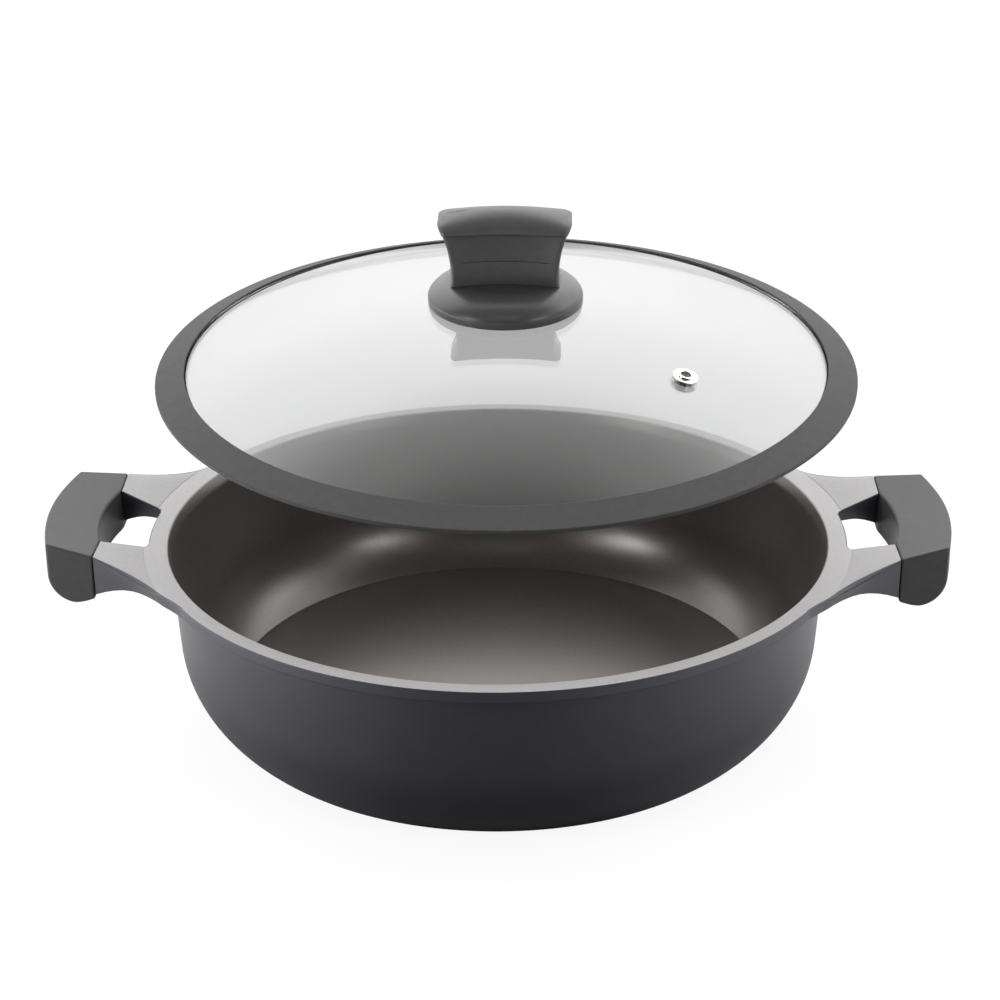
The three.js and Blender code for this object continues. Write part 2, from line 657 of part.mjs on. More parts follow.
const right = rightHandle();
add(part, 'pan_body', bowl().add(right).add(right.rotate([0, 0, 180])), castAluminium);
add(part, 'base_plate', basePlate(), steel);
const grip = rightGrip();
add(part, 'grip_right', grip, gripPlastic);
add(part, 'grip_left', grip.rotate([0, 0, 180]), gripPlastic);
add(part, 'grip_screw_right_front', gripScrew(-1), steel);
add(part, 'grip_screw_right_back', gripScrew(1), steel);
add(part, 'grip_screw_left_front', gripScrew(1).rotate([0, 0, 180]), steel);
add(part, 'grip_screw_left_back', gripScrew(-1).rotate([0, 0, 180]), steel);

const lid = new THREE.Group();
lid.name = 'lid';
add(lid, 'lid_glass', lidGlass(), clearGlass);
add(lid, 'lid_ring', lidRing(), silicone);
add(lid, 'vent_eyelet', ventEyelet(), steel);
add(lid, 'vent_washer', ventWasher(), steel);
add(lid, 'knob_base', knobBase(), knobPlastic);
add(lid, 'knob_grip', knobGrip(), knobPlastic);
add(lid, 'knob_insert', knobInsert(), brass);
add(lid, 'knob_screw', knobScrew(), steel);
add(lid, 'knob_washer', knobWasher(), steel);
add(lid, 'upper_gasket', upperGasket(), silicone);
add(lid, 'lower_gasket', lowerGasket(), silicone);

// The lid's seat on the rim and the far axis about which one turn carries it to where it is shown.
const seat = new THREE.Vector3(0, 0, PAN_HEIGHT + FIT + RING_DEPTH);
const lift = new THREE.Vector3(LIFT_RIGHT, LIFT_BACK, LIFT_UP);
const rightward = new THREE.Vector3(1, 0, 0);
const hinge = rightward.addScaledVector(lift, -LIFT_RIGHT / lift.lengthSq()).normalize();
const aside = hinge.clone().cross(lift).multiplyScalar(0.5 / Math.tan(rad(LIFT_TILT) / 2));
const pivot = seat.clone().addScaledVector(lift, 0.5).add(aside);
lid.position.copy(seat).sub(pivot).applyAxisAngle(hinge, rad(LIFT_TILT)).add(pivot);
lid.quaternion.setFromAxisAngle(hinge, rad(LIFT_TILT));
part.add(lid);

export default part;
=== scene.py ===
import math

import bmesh
import bpy
from mathutils import Matrix, Quaternion, Vector


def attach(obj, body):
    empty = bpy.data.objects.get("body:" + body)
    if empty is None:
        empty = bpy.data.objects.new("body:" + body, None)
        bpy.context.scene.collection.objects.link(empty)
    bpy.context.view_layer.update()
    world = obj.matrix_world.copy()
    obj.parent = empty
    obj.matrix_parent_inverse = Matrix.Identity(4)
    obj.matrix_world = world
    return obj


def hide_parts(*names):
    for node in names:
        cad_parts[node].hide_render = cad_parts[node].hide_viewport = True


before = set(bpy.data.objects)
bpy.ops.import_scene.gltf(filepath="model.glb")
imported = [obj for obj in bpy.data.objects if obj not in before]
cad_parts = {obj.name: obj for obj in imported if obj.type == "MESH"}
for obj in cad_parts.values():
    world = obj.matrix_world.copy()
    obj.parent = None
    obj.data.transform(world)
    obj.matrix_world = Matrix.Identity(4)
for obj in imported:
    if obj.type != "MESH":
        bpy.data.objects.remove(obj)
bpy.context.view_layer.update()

# Camera. A long lens in front of the pan and a little to its right. It looks down on the pan by about
# 24 degrees and aims close to the middle of the rim.
AIM_HEIGHT = 0.0775
EYE_DISTANCE, EYE_ELEVATION, EYE_TURN = 0.978326, 0.425830, math.radians(1.33456)
YAW, PITCH, ROLL = 0.00107252, 0.0124383, -0.00561262
turn = Matrix.Rotation(EYE_TURN, 3, "Z")
eye = Vector((0, -EYE_DISTANCE * math.cos(EYE_ELEVATION), EYE_DISTANCE * math.sin(EYE_ELEVATION)))
ahead = -eye.normalized()
aside = Vector((1, 0, 0))
above = aside.cross(ahead)
ahead = (ahead + math.tan(YAW) * aside + math.tan(PITCH) * above).normalized()
aside = ahead.cross(Vector((0, 0, 1))).normalized()
above = aside.cross(ahead)
aside, above = (
    math.cos(ROLL) * aside + math.sin(ROLL) * above,
    math.cos(ROLL) * above - math.sin(ROLL) * aside,
)
axes = turn @ Matrix((aside, above, -ahead)).transposed()
bpy.ops.object.select_all(action="DESELECT")
bpy.ops.object.camera_add()
camera = bpy.context.object
camera.matrix_world = Matrix.Translation(turn @ eye + Vector((0, 0, AIM_HEIGHT))) @ axes.to_4x4()
camera.data.sensor_width = 36
camera.data.lens = 82.418
bpy.context.scene.camera = camera
bpy.context.scene.view_settings.view_transform = "Standard"

# Stage. A wide sheet of pale paper under the pan. It shows white to the lens and through the glass and
# keeps the pan's shadow, and in gloss it is darker along the middle line, in front of and behind the pan:
# that darkening is painted shade, standing in for the pan's shade on the paper.
FLOOR_SIZE = 60
PAPER_IN_ROOM = (0.14, 0.14, 0.143, 1)
PAPER_IN_VIEW = (0.13, 0.13, 0.13, 1)
PAPER_GLOW = 0.9
GLOSS_FROM, GLOSS_TO = 0.04, 0.23
GLOSS_PAINTED_SHADE, GLOSS_SIDES = 0.35, 0.95
bpy.ops.mesh.primitive_plane_add(size=FLOOR_SIZE)
floor = bpy.context.object
floor.name = "floor"
paper = bpy.data.materials.new("floor paper")
paper.use_nodes = True
nodes, links = paper.node_tree.nodes, paper.node_tree.links
nodes.remove(nodes["Principled BSDF"])
seen = nodes.new("ShaderNodeLightPath")
dim = nodes.new("ShaderNodeBsdfDiffuse")
dim.inputs["Color"].default_value = PAPER_IN_ROOM
gloss_paper = nodes.new("ShaderNodeBsdfDiffuse")
spot = nodes.new("ShaderNodeTexCoord")
axis = nodes.new("ShaderNodeSeparateXYZ")
to_side = nodes.new("ShaderNodeMath")
to_side.operation = "ABSOLUTE"
# Painted shade: the paper seen in gloss is darkened towards the middle line, where the pan keeps light off
# it.
painted_gloss_shade = nodes.new("ShaderNodeMapRange")
painted_gloss_shade.inputs["From Min"].default_value = GLOSS_FROM
painted_gloss_shade.inputs["From Max"].default_value = GLOSS_TO
painted_gloss_shade.inputs["To Min"].default_value = GLOSS_PAINTED_SHADE
painted_gloss_shade.inputs["To Max"].default_value = GLOSS_SIDES
links.new(spot.outputs["Object"], axis.inputs[0])
links.new(axis.outputs["X"], to_side.inputs[0])
links.new(to_side.outputs[0], painted_gloss_shade.inputs["Value"])
links.new(painted_gloss_shade.outputs["Result"], gloss_paper.inputs["Color"])
lit = nodes.new("ShaderNodeBsdfDiffuse")
lit.inputs["Color"].default_value = PAPER_IN_VIEW
glow = nodes.new("ShaderNodeEmission")
glow.inputs["Strength"].default_value = PAPER_GLOW
both = nodes.new("ShaderNodeAddShader")
in_gloss = nodes.new("ShaderNodeMixShader")
direct = nodes.new("ShaderNodeMath")
direct.operation = "MAXIMUM"
in_view = nodes.new("ShaderNodeMixShader")
links.new(seen.outputs["Is Glossy Ray"], in_gloss.inputs[0])
links.new(dim.outputs[0], in_gloss.inputs[1])
links.new(gloss_paper.outputs[0], in_gloss.inputs[2])
links.new(lit.outputs[0], both.inputs[0])
links.new(glow.outputs[0], both.inputs[1])
links.new(seen.outputs["Is Camera Ray"], direct.inputs[0])
links.new(seen.outputs["Is Transmission Ray"], direct.inputs[1])
links.new(direct.outputs[0], in_view.inputs[0])
links.new(in_gloss.outputs[0], in_view.inputs[1])
links.new(both.outputs[0], in_view.inputs[2])
links.new(in_view.outputs[0], nodes["Material Output"].inputs["Surface"])
floor.data.materials.append(paper)


# Lamps. Two low strips light the flanks of the pan, soft boxes light it from the front and the right,
# and the room is bright behind the pan and dark in front of it.
def soft_box(name, place, aim, width, height, power):
    """A rectangular lamp that faces its aim, in metres and watts."""
    bpy.ops.object.light_add(type="AREA", location=place)
    lamp = bpy.context.object
    lamp.name = name
    lamp.rotation_euler = (Vector(aim) - Vector(place)).to_track_quat("-Z", "Y").to_euler()
    lamp.data.shape = "RECTANGLE"
    lamp.data.size, lamp.data.size_y = width, height
    lamp.data.energy = power


soft_box("left strip light", (-0.62, -0.04, 0.05), (0, -0.02, 0.05), 0.9, 0.1, 3.0)
soft_box("right strip light", (0.62, 0.04, 0.05), (0, 0.04, 0.05), 0.9, 0.1, 0.9)
soft_box("right soft box", (1.1, 0.05, 0.85), (0, 0, 0.05), 1.0, 0.5, 2.4)
soft_box("left front soft box", (-0.98, -0.62, 0.54), (0, 0.1, 0.02), 0.3, 0.22, 2.4)
soft_box("right front soft box", (0.95, -0.7, 0.6), (0, 0.1, 0.02), 0.3, 0.22, 1.8)
soft_box("left low soft box", (-0.45, -0.35, 0.4), (-0.18, -0.1, 0.03), 0.2, 0.15, 0.42)
soft_box("right low soft box", (0.45, -0.35, 0.4), (0.18, -0.1, 0.03), 0.2, 0.15, 0.35)
soft_box("front top soft box", (0, -0.75, 1.15), (0, 0.1, 0.02), 0.6, 0.4, 1.0)
ROOM_FRONT, ROOM_BACK = 0.07, 3.6
ROOM_TURNS_FROM, ROOM_TURNS_TO = -0.1, 0.3
ROOM_BY_HEIGHT = (
    (0, 0.38),
    (0.2, 0.54),
    (0.45, 0.8),
    (0.68, 0.94),
    (0.77, 0.93),
    (0.82, 0.78),
    (0.86, 0.66),
    (0.92, 0.56),
    (1, 0.28),
)
sky = bpy.data.worlds.new("studio")
bpy.context.scene.world = sky
sky.use_nodes = True
nodes, links = sky.node_tree.nodes, sky.node_tree.links
toward = nodes.new("ShaderNodeTexCoord")
parts = nodes.new("ShaderNodeSeparateXYZ")
by_height = nodes.new("ShaderNodeValToRGB")
marks = by_height.color_ramp.elements
for stop, light in ROOM_BY_HEIGHT:
    if stop == 0:
        mark = marks[0]
    elif stop == 1:
        mark = marks[-1]
    else:
        mark = marks.new(stop)
    mark.color = (light, light, light, 1)
behind = nodes.new("ShaderNodeMapRange")
behind.interpolation_type = "SMOOTHSTEP"
behind.inputs["From Min"].default_value = ROOM_TURNS_FROM
behind.inputs["From Max"].default_value = ROOM_TURNS_TO
behind.inputs["To Min"].default_value = ROOM_FRONT
behind.inputs["To Max"].default_value = ROOM_BACK
strength = nodes.new("ShaderNodeMath")
strength.operation = "MULTIPLY"
links.new(toward.outputs["Generated"], parts.inputs[0])
links.new(parts.outputs["Z"], by_height.inputs["Fac"])
links.new(parts.outputs["Y"], behind.inputs["Value"])
links.new(by_height.outputs["Color"], strength.inputs[0])
links.new(behind.outputs["Result"], strength.inputs[1])
links.new(strength.outputs[0], nodes["Background"].inputs["Strength"])
nodes["Background"].inputs["Color"].default_value = (1, 1, 1, 1)

# Pan body. One aluminium casting: bowl, flat rim and four handle arms, painted dark outside, coated
# non-stick inside, and machined bright on top of the rim and the arms. Its sizes are in millimetres.
MM = 0.001
SOFT_ANGLE = math.radians(32)
FULL_TURN_STEPS = 256
RIM_RADIUS, RIM_TOP, RIM_UNDER = 146.5, 77.5, 72.6
MOUTH_RADIUS, MOUTH_CHAMFER = 140.3, 0.5
NECK_OUTSIDE, NECK_INSIDE = 139.0, 138.3
WALL_CENTRE, WALL_OUTSIDE, WALL_INSIDE, WALL_STEPS = (88.77, 38.08), 48, 43.9, 24
WALL_TOP_ANGLE, OUTSIDE_FOOT_ANGLE, INSIDE_FOOT_ANGLE = -3.85, -52.5, -50.9
COOKING_FLOOR = 4
PLATE_SEAT_RADIUS, PLATE_SEAT = 96.3, 1.3


def rounded(corners, steps=5):
    """Points along a profile of (radius, height, rounding) corners, in metres in the XZ plane."""
    path = []
    for k, (r, z, radius) in enumerate(corners):
        corner = Vector((r, 0, z))
        if radius:
            back = (Vector((corners[k - 1][0], 0, corners[k - 1][1])) - corner).normalized()
            on = corners[(k + 1) % len(corners)]
            on = (Vector((on[0], 0, on[1])) - corner).normalized()
            reach = radius / math.tan(back.angle(on) / 2)
            for n in range(steps + 1):
                t = n / steps
                path.append(corner + back * reach * (1 - t) ** 2 + on * reach * t * t)
        else:
            path.append(corner)
    return [point * MM for point in path]


def finish_mesh():
    """Welds the open mesh, turns its faces outward and leaves edit mode with soft shading."""
    bpy.ops.mesh.select_all(action="SELECT")
    bpy.ops.mesh.remove_doubles(threshold=1e-6)
    bpy.ops.mesh.normals_make_consistent(inside=False)
    bpy.ops.object.mode_set(mode="OBJECT")
    bpy.ops.object.shade_smooth_by_angle(angle=SOFT_ANGLE)


def turned(name, corners, steps, closed=False):
    """A piece turned about Z: its profile is drawn point by point and spun."""
    path = rounded(corners)
    if closed:
        path.append(path[0])
    bpy.ops.object.select_all(action="DESELECT")
    bpy.ops.mesh.primitive_plane_add(size=MM)
    piece = bpy.context.object
    piece.name = piece.data.name = name
    bpy.ops.object.mode_set(mode="EDIT")
    bpy.ops.mesh.select_mode(type="VERT")
    bpy.ops.mesh.merge(type="CENTER")
    bpy.ops.transform.translate(value=path[0])
    for near, far in zip(path, path[1:]):
        bpy.ops.mesh.extrude_vertices_move(TRANSFORM_OT_translate={"value": far - near})
    bpy.ops.mesh.select_all(action="SELECT")
    bpy.ops.mesh.spin(steps=steps, angle=math.tau, center=(0, 0, 0), axis=(0, 0, 1))
    finish_mesh()
    return piece


def arc(centre, radius, start, stop, steps):
    """Profile points on a circle between two angles in degrees."""
    angles = [math.radians(start + (stop - start) * n / steps) for n in range(steps + 1)]
    return [(centre[0] + radius * math.cos(a), centre[1] + radius * math.sin(a), 0) for a in angles]


def surface(name, dark, light, scale, rough, grain, relief, **sockets):
    """A finish with a mottled colour between two tones, a varying roughness and a fine relief."""
    made = bpy.data.materials.new(name)
    made.use_nodes = True
    nodes, links = made.node_tree.nodes, made.node_tree.links
    shader = nodes["Principled BSDF"]
    place = nodes.new("ShaderNodeTexCoord")
    cloud = nodes.new("ShaderNodeTexNoise")
    cloud.inputs["Scale"].default_value = scale
    cloud.inputs["Detail"].default_value = 6
    tone = nodes.new("ShaderNodeValToRGB")
    tone.color_ramp.elements[0].position = 0.3
    tone.color_ramp.elements[0].color = (*dark, 1)
    tone.color_ramp.elements[1].position = 0.7
    tone.color_ramp.elements[1].color = (*light, 1)
    sheen = nodes.new("ShaderNodeMapRange")
    sheen.inputs["To Min"].default_value = rough[0]
    sheen.inputs["To Max"].default_value = rough[1]
    fine = nodes.new("ShaderNodeTexNoise")
    fine.inputs["Scale"].default_value = grain
    fine.inputs["Detail"].default_value = 3
    bump = nodes.new("ShaderNodeBump")
    bump.inputs["Distance"].default_value = relief
    bump.inputs["Strength"].default_value = 0.5
    links.new(place.outputs["Object"], cloud.inputs["Vector"])
    links.new(place.outputs["Object"], fine.inputs["Vector"])
    links.new(cloud.outputs["Fac"], tone.inputs["Fac"])
    links.new(tone.outputs["Color"], shader.inputs["Base Color"])
    links.new(fine.outputs["Fac"], sheen.inputs["Value"])
    links.new(sheen.outputs["Result"], shader.inputs["Roughness"])
    links.new(fine.outputs["Fac"], bump.inputs["Height"])
    links.new(bump.outputs["Normal"], shader.inputs["Normal"])
    for socket, value in sockets.items():
        shader.inputs[socket.replace("_", " ")].default_value = value
    return made


paint = surface(
    "dark satin paint",
    dark=(0.02, 0.02, 0.0245),
    light=(0.0245, 0.0245, 0.03),
    scale=60,
    rough=(0.38, 0.46),
    grain=1400,
    relief=0.00002,
    Specular_IOR_Level=0.52,
    Specular_Tint=(0.94, 0.95, 1, 1),
)
coating = surface(
    "non-stick coating",
    dark=(0.04, 0.037, 0.0348),
    light=(0.052, 0.048, 0.0458),
    scale=2400,
    rough=(0.23, 0.35),
    grain=3200,
    relief=0.000015,
    Specular_IOR_Level=1.0,
    IOR=1.6,
    Specular_Tint=(1, 0.93, 0.9, 1),
)
bare = surface(
    "machined aluminium",
    dark=(0.395, 0.385, 0.386),
    light=(0.431, 0.42, 0.421),
    scale=700,
    rough=(0.38, 0.48),
    grain=1500,
    relief=0.00001,
    Specular_IOR_Level=0.15,
)
PAINTED, COATED, MACHINED = 0, 1, 2

pan_body = turned(
    "cast_pan",
    [
        (0, PLATE_SEAT, 0),
        (PLATE_SEAT_RADIUS, PLATE_SEAT, 0),
        (PLATE_SEAT_RADIUS, 0, 0.3),
        *arc(WALL_CENTRE, WALL_OUTSIDE, OUTSIDE_FOOT_ANGLE, WALL_TOP_ANGLE, WALL_STEPS),
        (NECK_OUTSIDE, RIM_UNDER, 2.6),
        (RIM_RADIUS, RIM_UNDER, 0.7),
        (RIM_RADIUS, RIM_TOP, 0.5),
        (MOUTH_RADIUS, RIM_TOP, 0.1),
        (MOUTH_RADIUS - MOUTH_CHAMFER, RIM_TOP - MOUTH_CHAMFER, 0),
        (NECK_INSIDE, RIM_UNDER, 12),
        *arc(WALL_CENTRE, WALL_INSIDE, WALL_TOP_ANGLE, INSIDE_FOOT_ANGLE, WALL_STEPS),
        (0, COOKING_FLOOR, 0),
    ],
    FULL_TURN_STEPS,
)
for finish in (paint, coating, bare):
    pan_body.data.materials.append(finish)
for face in pan_body.data.polygons:
    r = math.hypot(face.center.x, face.center.y) / MM
    z = face.center.z / MM
    inside = r < MOUTH_RADIUS + 0.2
    on_rim = r > MOUTH_RADIUS - 0.4 and z > RIM_TOP - 0.2 and face.normal.z > 0.9
    on_chamfer = inside and z > RIM_TOP - 0.4
    faces_in = face.normal.xy.dot(face.center.xy) < 0 or face.normal.z > 0.99
    if on_rim or on_chamfer:
        face.material_index = MACHINED
    elif inside and faces_in and z > COOKING_FLOOR - 0.1:
        face.material_index = COATED
    else:
        face.material_index = PAINTED

# The two arms of a handle, as plan points of the outer edge and of the finger window. They are flat beside
# the rim, then step up a little and rise outward to the grip, and their undersides drop towards it.
ARM_ROOT, ARM_BEND, ARM_END = Vector((122.0, 81.057)), Vector((134.693, 61.46)), Vector((165.2, 44.2))
WEB_SIDE, WINDOW_CORNER = Vector((147.134, 15.987)), Vector((146.78, 18.966))
WINDOW_TURN, WINDOW_END = Vector((149.582, 20.036)), Vector((165.2, 26))
CORNER_SHARE = 0.2
EDGE, EDGE_WIDENS, EDGE_SINKS = 0.5, 1.8, 0.6
CRISP_SHARE = 0.36
WEB_RADIUS, STEP_RADIUS = 148, 150
ARM_STEP, ARM_RISE = 0.2, math.radians(16.87)
BELLY_START, BELLY_BEND, BELLY_END, BELLY_DROP = 154.5, 161.5, 174, 7.7
ARM_COLUMNS, WEB_COLUMNS = 5, 6
COLUMNS = 2 * ARM_COLUMNS + WEB_COLUMNS
WEB_ROW, STEP_ROW, ROWS = 4, 8, 17
ROOT_RADII = [146.47 - EDGE, 146.1, 146.3, 146.7, WEB_RADIUS - EDGE, 148.5, 149.2, 149.7, STEP_RADIUS]
LEAST_SHARE = 0.008
BELLY_LAYER = (1.0, None)
EDGE_LAYERS = [(0.0, 1.0), (0.1, 0.55), (0.42, 0.18), (1.0, 0.0)]


def bezier(a, b, c, t):
    """A point at a share t of the curve from a, bent by b, to c."""
    return a * (1 - t) ** 2 + b * (2 * t * (1 - t)) + c * t * t


def solve(value, target, low=0.0, high=1.0):
    """Where a rising function of one number reaches a target."""
    for _ in range(40):
        middle = (low + high) / 2
        low, high = (middle, high) if value(middle) < target else (low, middle)
    return (low + high) / 2


def swell(t):
    """The outer edge is crisp beside the rim and at the grip, and rounder between them."""
    return math.sin(math.pi * max(0, (t - CRISP_SHARE) / (1 - CRISP_SHARE)))


def edge_width(t):
    return EDGE + EDGE_WIDENS * swell(t)


def edge_drop(t):
    return EDGE + EDGE_SINKS * swell(t)


def outer_edge(t, inset):
    """A point of the arm's outer edge from the rim (0) to the grip (1), moved in by an inset."""
    along = (ARM_BEND - ARM_ROOT) * (1 - t) + (ARM_END - ARM_BEND) * t
    inward = Vector((-along.y, along.x)).normalized()
    if inward.dot(Vector((-1, -1))) < 0:
        inward = -inward
    if t == 1:
        inward = Vector((0, -1))
    return bezier(ARM_ROOT, ARM_BEND, ARM_END, t) + inward * inset


def window_edge(t, inset):
    """A point of the finger window's edge from the web (0) round the corner to the grip (1)."""
    if t < CORNER_SHARE:
        u = t / CORNER_SHARE
        point = bezier(WEB_SIDE, WINDOW_CORNER, WINDOW_TURN, u)
        along = (WINDOW_CORNER - WEB_SIDE) * (1 - u) + (WINDOW_TURN - WINDOW_CORNER) * u
    else:
        point = WINDOW_TURN.lerp(WINDOW_END, (t - CORNER_SHARE) / (1 - CORNER_SHARE))
        along = WINDOW_END - WINDOW_TURN
    away = Vector((-along.y, along.x)).normalized()
    if t == 1:
        away = Vector((0, 1))
    return point + away * inset


outer_at = [solve(lambda t: outer_edge(t, edge_width(t)).length, r) for r in ROOT_RADII]
window_at = [solve(lambda t: window_edge(t, EDGE).length, max(r, WEB_RADIUS - EDGE)) for r in ROOT_RADII]
outer_at[0] = 0
window_at[WEB_ROW] = 0


def along_arm(row):
    """Shares along the outer edge and the window edge at a row, and how far the row follows the rim."""
    if row <= STEP_ROW:
        return outer_at[row], window_at[row], 1.0
    s = max(LEAST_SHARE, (row - STEP_ROW - 1) / (ROWS - STEP_ROW - 1))
    t_out = outer_at[STEP_ROW] + (1 - outer_at[STEP_ROW]) * s
    t_win = window_at[STEP_ROW] + (1 - window_at[STEP_ROW]) * s
    return t_out, t_win, 1 - s


def arm_point(row, column, share):
    """Plan point of the handle's grid. Share 1 is the flat of the top, 0 the full outline."""
    t_out, t_win, fade = along_arm(row)
    out = outer_edge(t_out, edge_width(t_out) * share)
    win = window_edge(t_win, EDGE * share)
    if row < WEB_ROW:
        win = win.normalized() * out.length
    side = 1
    if column < ARM_COLUMNS:
        side, v = -1, 1 - column / ARM_COLUMNS
    elif column > ARM_COLUMNS + WEB_COLUMNS:
        v = (column - ARM_COLUMNS - WEB_COLUMNS) / ARM_COLUMNS
    else:
        angle = math.atan2(win.y, win.x) * (2 * (column - ARM_COLUMNS) / WEB_COLUMNS - 1)
        return Vector((math.cos(angle), math.sin(angle))) * win.length
    straight = win.lerp(out, v)
    angle = math.atan2(win.y, win.x) * (1 - v) + math.atan2(out.y, out.x) * v
    radius = win.length * (1 - v) + out.length * v
    curved = Vector((math.cos(angle), math.sin(angle))) * radius
    point = straight.lerp(curved, fade)
    return Vector((point.x, point.y * side))


def arm_top(row, column):
    """Flat beside the rim, then a low step that runs out at the outer edge, and the rising top."""
    if row <= STEP_ROW:
        return RIM_TOP
    step = 0 if column in (0, COLUMNS) else ARM_STEP
    return RIM_TOP + step + (arm_point(row, column, 1.0).length - STEP_RADIUS) * math.tan(ARM_RISE)


def arm_belly(point):
    """Height of the arm's underside, which drops towards the grip."""
    t = solve(lambda u: bezier(BELLY_START, BELLY_BEND, BELLY_END, u), point.length)
    return RIM_UNDER - BELLY_DROP * t * t


bpy.ops.object.select_all(action="DESELECT")
bpy.ops.mesh.primitive_grid_add(x_subdivisions=ROWS, y_subdivisions=COLUMNS, size=1)
arms = bpy.context.object
arms.name = "handle arms"
bpy.ops.object.mode_set(mode="EDIT")
mesh = bmesh.from_edit_mesh(arms.data)
row_of = mesh.verts.layers.int.new("row")
column_of = mesh.verts.layers.int.new("column")
for vertex in mesh.verts:
    vertex[row_of] = round((vertex.co.x + 0.5) * ROWS)
    vertex[column_of] = round((vertex.co.y + 0.5) * COLUMNS)
bpy.ops.mesh.select_all(action="DESELECT")
for face in mesh.faces:
    rows = [v[row_of] for v in face.verts]
    places = [v[column_of] for v in face.verts]
    if min(rows) >= WEB_ROW and min(places) >= ARM_COLUMNS and max(places) <= ARM_COLUMNS + WEB_COLUMNS:
        face.select_set(True)
bmesh.update_edit_mesh(arms.data)
bpy.ops.mesh.delete(type="FACE")
bpy.ops.mesh.select_all(action="SELECT")
for share, drop in [BELLY_LAYER, *EDGE_LAYERS]:
    if drop is not None:
        bpy.ops.mesh.extrude_region_move(TRANSFORM_OT_translate={"value": (0, 0, 0)})
    mesh = bmesh.from_edit_mesh(arms.data)
    row_of = mesh.verts.layers.int["row"]
    column_of = mesh.verts.layers.int["column"]
    for vertex in mesh.verts:
        if vertex.select:
            row, column = vertex[row_of], vertex[column_of]
            point = arm_point(row, column, share)
            if drop is None:
                z = arm_belly(point)
            elif column in (0, COLUMNS):
                z = arm_top(row, column) - drop * edge_drop(along_arm(row)[0])
            else:
                z = arm_top(row, column) - drop * EDGE
            vertex.co = Vector((point.x, point.y, z)) * MM
    bmesh.update_edit_mesh(arms.data)
for finish in (paint, coating, bare):
    arms.data.materials.append(finish)
mesh = bmesh.from_edit_mesh(arms.data)
for face in mesh.faces:
    face.material_index = MACHINED if face.select else PAINTED
bmesh.update_edit_mesh(arms.data)
finish_mesh()
bpy.ops.object.duplicate()
other_arms = bpy.context.object
other_arms.rotation_euler = (0, 0, math.pi)
bpy.ops.object.transform_apply(location=True, rotation=True, scale=True)


def pick(piece):
    """Selects one piece alone and makes it active."""
    bpy.ops.object.select_all(action="DESELECT")
    piece.select_set(True)
    bpy.context.view_layer.objects.active = piece


def combine(piece, tool, operation):
    """Joins a tool to a piece or cuts it out, and removes the tool."""
    pick(piece)
    bpy.ops.object.modifier_add(type="BOOLEAN")
    change = piece.modifiers[-1]
    change.operation = operation
    change.solver = "EXACT"
    change.object = tool
    bpy.ops.object.modifier_apply(modifier=change.name)
    bpy.data.objects.remove(tool)


def even_shading(piece):
    """Keeps flat faces flat beside their small roundings."""
    pick(piece)
    bpy.ops.object.shade_smooth_by_angle(angle=SOFT_ANGLE)
    bpy.ops.object.modifier_add(type="WEIGHTED_NORMAL")
    piece.modifiers[-1].keep_sharp = True
    bpy.ops.object.modifier_apply(modifier=piece.modifiers[-1].name)


combine(pan_body, arms, "UNION")
combine(pan_body, other_arms, "UNION")
even_shading(pan_body)
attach(pan_body, "pan")
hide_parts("pan_body")

# Base plate. A round steel plate that makes the pan work on induction, stamped from sheet, with a shallow
# dimple in its middle. It is pressed into the underside of the casting.
plate_steel = surface(
    "brushed plate steel",
    dark=(0.42, 0.42, 0.43),
    light=(0.55, 0.55, 0.56),
    scale=900,
    rough=(0.28, 0.4),
    grain=1500,
    relief=0.00002,
    Metallic=1.0,
)
PLATE_RADIUS, PLATE_THICKNESS, PLATE_CHAMFER = 96, 1, 0.4
DIMPLE_RADIUS, DIMPLE_DEPTH = 20, 0.15
base_plate = turned(
    "induction_plate",
    [
        (0, DIMPLE_DEPTH, 0),
        (DIMPLE_RADIUS, DIMPLE_DEPTH, 0),
        (DIMPLE_RADIUS + 0.5, 0, 0),
        (PLATE_RADIUS - PLATE_CHAMFER, 0, 0),
        (PLATE_RADIUS, PLATE_CHAMFER, 0),
        (PLATE_RADIUS, PLATE_THICKNESS, 0),
        (0, PLATE_THICKNESS, 0),
    ],
    192,
)
base_plate.data.materials.append(plate_steel)
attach(base_plate, "pan")
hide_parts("base_plate")

# Grips. Two moulded plastic handles, flat on top, hollowed for the fingers and round below. They are
# pushed over the ends of the arms and screwed from underneath.
grip_finish = surface(
    "grip plastic",
    dark=(0.045, 0.045, 0.046),
    light=(0.052, 0.052, 0.053),
    scale=300,
    rough=(0.4, 0.5),
    grain=1800,
    relief=0.00003,
    Specular_IOR_Level=0.2,
)
GRIP_HALF, GRIP_INNER, GRIP_DEPTH, GRIP_BOW = 44.2, 165.5, 25.3, 5.2
SCOOP_HALF, SCOOP_DEPTH = 26, 3.5
KEEL_ROUND, KEEL_HEIGHT, KEEL_LIFT = 11.2, 73.1, 3.1
GRIP_TOP, GRIP_TOP_RADIUS, GRIP_RISE = 83.99, 171.01, math.radians(9.5)
GRIP_TAPER = math.radians(14.9)
GRIP_SECTIONS, ROUND_STEPS, FLAT_STEPS = 36, 14, 6
SCREW_X, SCREW_Y, SCREW_HOLE = 171.2, 34.5, 4.3
SCREW_HOLE_FROM, SCREW_HOLE_TO = 55, 67


